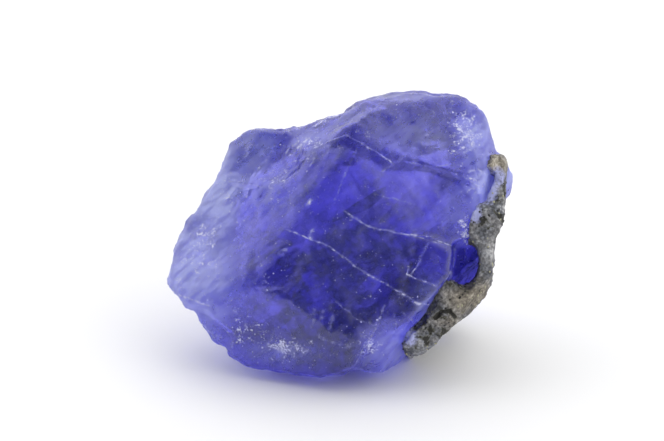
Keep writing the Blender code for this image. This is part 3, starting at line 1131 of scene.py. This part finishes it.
    def tones(self, places: np.ndarray) -> np.ndarray:
        """Works out how deep the front's colour is from its ground, zones and plates.

        Args:
            places: The vertices' rows of u and v.

        Returns:
            A tone from 0 to 1 for each vertex.
        """
        total = np.full(len(places), self.ground_weight)
        tone = self.ground_weight * np.interp(places[:, 0], self.ground_places, self.ground_tones)
        for zone in ZONES:
            weight = spot(places, zone.middle, zone.reach)
            total += weight
            tone += weight * zone.strength
        tone /= total
        for plate in PLATES:
            weight = plate.strength * soft_outline(places, plate.outline, plate.edge)
            tone += weight * (plate.tone - tone)
        return np.clip(tone, 0.0, 1.0)


@dataclass
class HostRock:
    """The crust of host rock down the right side, grown onto the crystal.

    Sizes are in millimetres.
    """

    node: str = "matrix_rind"
    grain: float = 0.11
    smoothing: int = 3
    coat: float = 0.55
    coat_outwards: float = 0.6
    coat_depth: float = 3.0
    coat_round: float = 0.3
    lumps: Clouds = Clouds(1.2, 4, 5.0, 0.0, 0.10)
    roughness: Clouds = Clouds(0.32, 3, 9.0, 0.0, 0.05)
    grains: float = 0.4
    grain_rise: float = 0.12
    grain_middle: float = 0.35
    hollow: float = 0.22
    hollow_shade: float = 2.4
    soot_hollow: float = 0.05
    front_from: float = 1.5
    dark_seed: float = 61.0
    warm_seed: float = 71.0
    pale_seed: float = 81.0

    def build(self, nodes: dict[str, Object], crystal: Object) -> Object:
        """Makes the piece.

        Args:
            nodes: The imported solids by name.
            crystal: The finished crystal, which the crust lies on.

        Returns:
            The finished piece, riding on the stone.
        """
        piece = add_object("rock_crust", merged_copy(nodes[self.node]))
        self.lay_on(piece, crystal)
        even_skin(piece, self.grain, self.smoothing)
        self.roughen(piece)
        piece.data.shade_smooth()
        piece.data.materials.append(HostRockFinish().build())
        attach(piece, "root")
        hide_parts(self.node)
        return piece

    def lay_on(self, piece: Object, crystal: Object) -> None:
        """Joins a thin coat to the piece, over the part of the crystal that it covers.

        Args:
            piece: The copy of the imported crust.
            crystal: The finished crystal.
        """
        shape = bmesh.new()
        shape.from_mesh(crystal.data)
        places = FACE.from_model(np.array([f.calc_center_median() for f in shape.faces]))
        looks = np.array([f.normal for f in shape.faces]) @ FACE.axes[2]
        covered = inside_outline(places[:, :2], CRUST_COVER)
        kept = covered & (looks > -self.coat_round) & (places[:, 2] > -self.coat_depth)
        bare = [face for face, stays in zip(shape.faces, kept) if not stays]
        bmesh.ops.delete(shape, geom=bare, context="FACES")
        mesh = bpy.data.meshes.new("coat")
        shape.to_mesh(mesh)
        shape.free()
        coat = add_object("coat", mesh)
        thick = coat.modifiers.new("Thick", "SOLIDIFY")
        thick.thickness = self.coat * MM
        thick.offset = self.coat_outwards
        freeze(coat)
        shape = bmesh.new()
        shape.from_mesh(piece.data)
        shape.from_mesh(coat.data)
        shape.to_mesh(piece.data)
        shape.free()
        bpy.data.objects.remove(coat)

    def roughen(self, piece: Object) -> None:
        """Gives the rock its lumps, grains and small hollows, and writes its patches, with
        painted shade in the hollows laid into its dark patches.

        Args:
            piece: The crust's even skin.
        """
        mesh = piece.data
        points = points_of(mesh)
        places = FACE.from_model(points)
        front = np.clip((places[:, 2] - self.front_from) / self.front_from, 0.0, 1.0)
        places = places[:, :2]
        hollow = near_lines(places, HOLLOWS) * front
        dark = self.patches(GRAPHITE, points, front, self.dark_seed)
        cells = np.array([noise.voronoi(Vector(p) / (self.grains * MM))[0][0] for p in points])
        height = self.lumps.over(points)
        height += self.roughness.over(points)
        grains = self.grain_rise * (self.grain_middle - cells)
        height += grains - self.hollow * hollow - self.soot_hollow * dark
        points = move_points(mesh, points + normals_of(mesh) * (height * MM)[:, None])
        # the first attribute holds the graphitic patches and, far above one, the painted shade of
        # the hollows
        write_attributes(
            mesh,
            graphite=np.maximum(dark, self.hollow_shade * hollow),
            warm=self.patches(WARM, points, front, self.warm_seed),
            pale=self.patches(PALE, points, front, self.pale_seed),
            frost=strongest(FROST, places) * front,
            speckled=np.ones(len(places)),
        )

    def patches(
        self, patches: Sequence[Patch], points: np.ndarray, front: np.ndarray, seed: float
    ) -> np.ndarray:
        """Lays the patches on the rock's front, and others like them on the rest of it.

        Args:
            patches: The patches that the front has.
            points: The vertices in the model.
            front: One for each vertex on the front, and nought for the others.
            seed: Moves the others.

        Returns:
            A strength for each vertex.
        """
        places = FACE.from_model(points)[:, :2]
        others = Clouds(1.6, 2, seed, 0.2, 1.3, (0.0, 1.0)).over(points)
        return strongest(patches, places) * front + others * (1.0 - front)


@dataclass
class Scatter:
    """Small bits of one kind, strewn over a piece by Geometry Nodes.

    They are thickest where the piece's attribute is high. Their density is in bits for each
    square millimetre, and their sizes are in millimetres.
    """

    name: str
    attribute: str
    slot: str
    finish: PlainFinish
    density: float
    size: tuple[float, float]
    flatness: float
    seed: int

    def build(self, surface: Object) -> Object:
        """Makes the piece.

        Args:
            surface: The finished piece that the bits lie on.

        Returns:
            The bits, as one plain mesh riding on the stone.
        """
        piece = add_object(self.name, surface.data.copy())
        piece.data.materials.clear()
        tree = self.tree(self.finish.build())
        modifier = piece.modifiers.new("Strew", "NODES")
        modifier.node_group = tree
        values = {
            "Density": self.density / MM ** 2, "Smallest": self.size[0] * MM,
            "Largest": self.size[1] * MM, "Flatness": self.flatness, "Seed": self.seed,
        }
        for item in tree.interface.items_tree:
            if item.name in values:
                modifier[item.identifier] = values[item.name]
        freeze(piece)
        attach(piece, "root")
        return piece

    def tree(self, material: Material) -> NodeTree:
        """Makes the node group that strews the bits.

        Args:
            material: What the bits are made of.

        Returns:
            The group, with the bits' number, sizes and seed as named inputs.
        """
        tree = bpy.data.node_groups.new(self.name, "GeometryNodeTree")
        for name, side, kind in (
            ("Surface", "INPUT", "Geometry"), ("Density", "INPUT", "Float"),
            ("Smallest", "INPUT", "Float"), ("Largest", "INPUT", "Float"),
            ("Flatness", "INPUT", "Float"), ("Seed", "INPUT", "Int"),
            ("Bits", "OUTPUT", "Geometry"),
        ):
            tree.interface.new_socket(name, in_out=side, socket_type="NodeSocket" + kind)
        given = add(tree, "NodeGroupInput").outputs
        weight = add(tree, "GeometryNodeInputNamedAttribute", {
            "Name": self.attribute}, {"data_type": "FLOAT"})
        density = add(tree, MATH, (weight, given["Density"]), {"operation": "MULTIPLY"})
        places = add(tree, "GeometryNodeDistributePointsOnFaces", {
            "Mesh": given["Surface"], "Density": density, "Seed": given["Seed"]})
        bit = add(tree, "GeometryNodeMeshIcoSphere", {"Radius": 0.5, "Subdivisions": 1})
        size = add(tree, "FunctionNodeRandomValue", {
            2: given["Smallest"], 3: given["Largest"], "Seed": given["Seed"],
        }, {"data_type": "FLOAT"})
        stretch, turn = (
            add(tree, "FunctionNodeRandomValue", (least, most), {"data_type": "FLOAT_VECTOR"})
            for least, most in (
                ((0.6, 0.6, 1.0), (1.5, 1.3, 1.0)), ((-0.5, -0.5, 0.0), (0.5, 0.5, math.tau))))
        flat = add(tree, "ShaderNodeCombineXYZ", (1.0, 1.0, given["Flatness"]))
        shape = add(tree, "ShaderNodeVectorMath", (stretch, flat), {"operation": "MULTIPLY"})
        scale = add(tree, "ShaderNodeVectorMath", {
            0: shape, "Scale": size}, {"operation": "SCALE"})
        spun = add(tree, "FunctionNodeRotateRotation", {
            "Rotation": places.outputs["Rotation"], "Rotate By": turn,
        }, {"rotation_space": "LOCAL"})
        bits = add(tree, "GeometryNodeInstanceOnPoints", {
            "Points": places, "Instance": bit, "Rotation": spun, "Scale": scale})
        real = add(tree, "GeometryNodeRealizeInstances", (bits,))
        done = add(tree, "GeometryNodeSetMaterial", {"Geometry": real, "Material": material})
        add(tree, "NodeGroupOutput", {"Bits": done})
        return tree


ON_CRYSTAL = (
    Scatter("dust", "dusty", "tanzanite", DUST, 1.5, (0.02, 0.05), 0.5, 3),
    # painted glints: white bits that stand for the sparkle of frosty places
    Scatter("painted_glints", "glint", "tanzanite", GLINT_BITS, 26.0, (0.03, 0.10), 0.25, 8),
)
ON_ROCK = (
    # black flakes on the graphitic patches, packed thickest into the hollows as painted shade
    Scatter(
        "graphite_flakes", "graphite", "host_rock", GRAPHITE_FLAKE, 6.0, (0.10, 0.30), 0.35, 5),
    Scatter("garnet_grains", "speckled", "host_rock", GROSSULAR, 0.6, (0.10, 0.20), 0.8, 12),
)


# Studio

@dataclass
class Studio:
    """The plain floor, the soft light and the camera, which looks square at the broad face.

    The light comes evenly from a white tent, which is dim around one direction, given along
    the broad face's u, v and w. Its dim part begins and ends at those cosines from it.
    """

    floor_size: float = 4.0
    floor_below: float = 0.01
    aim: tuple[float, float, float] = (-0.75, 0.94, 4.0)
    distance: float = 0.2275
    lens: float = 180.0
    dim_toward: tuple[float, float, float] = (-0.35, 0.20, 1.0)
    dim_cosines: tuple[float, float] = (0.50, 0.93)
    bright: float = 1.6
    dim: float = 0.12

    def build(self) -> None:
        """Makes all of it."""
        self.add_floor()
        self.add_light()
        self.add_camera()
        bpy.context.scene.view_settings.view_transform = "Standard"

    def add_floor(self) -> None:
        """Makes the floor, a hair below the stone."""
        shape = bmesh.new()
        bmesh.ops.create_grid(shape, x_segments=1, y_segments=1, size=self.floor_size / 2)
        bmesh.ops.translate(shape, verts=shape.verts, vec=(0.0, 0.0, -self.floor_below * MM))
        mesh = bpy.data.meshes.new("floor")
        shape.to_mesh(mesh)
        shape.free()
        floor = add_object("floor", mesh)
        mesh.materials.append(WHITE_BOARD.build())

    def add_light(self) -> None:
        """Lights the stone evenly from all sides, and less from about where the camera stands."""
        world = bpy.data.worlds.new("White tent")
        bpy.context.scene.world = world
        world.use_nodes = True
        tree = world.node_tree
        toward = add(tree, "ShaderNodeTexCoord").outputs["Generated"]
        dim_toward = tuple(Vector(self.dim_toward @ FACE.axes).normalized())
        cosine = add(tree, "ShaderNodeVectorMath", (
            toward, dim_toward), {"operation": "DOT_PRODUCT"}).outputs["Value"]
        strength = add(tree, MAP, (cosine, *self.dim_cosines, self.bright, self.dim))
        give(tree, tree.nodes["Background"], {"Color": linear("FFFFFF"), "Strength": strength})

    def add_camera(self) -> None:
        """Adds the camera and makes it the scene's."""
        data = bpy.data.cameras.new("camera")
        data.lens = self.lens
        camera = bpy.data.objects.new("camera", data)
        bpy.context.scene.collection.objects.link(camera)
        turn = Matrix(FACE.axes.T.tolist()).to_4x4()
        target = Vector(FACE.to_model(np.array(self.aim)))
        place = target + Vector(FACE.axes[2]) * self.distance
        camera.matrix_world = Matrix.Translation(place) @ turn
        bpy.context.scene.camera = camera


def main() -> None:
    """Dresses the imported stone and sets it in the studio."""
    logging.basicConfig(level=logging.INFO, format="%(message)s")
    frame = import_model()
    Studio().build()
    nodes = frame["nodes"]
    crystal = Crystal().build(nodes)
    rock = HostRock().build(nodes, crystal)
    pieces = [crystal, rock]
    for surface, kinds in ((crystal, ON_CRYSTAL), (rock, ON_ROCK)):
        pieces += [kind.build(surface) for kind in kinds]
    for piece in pieces:
        LOG.info("%s: %d faces", piece.name, len(piece.data.polygons))


if __name__ == "__main__":
    main()
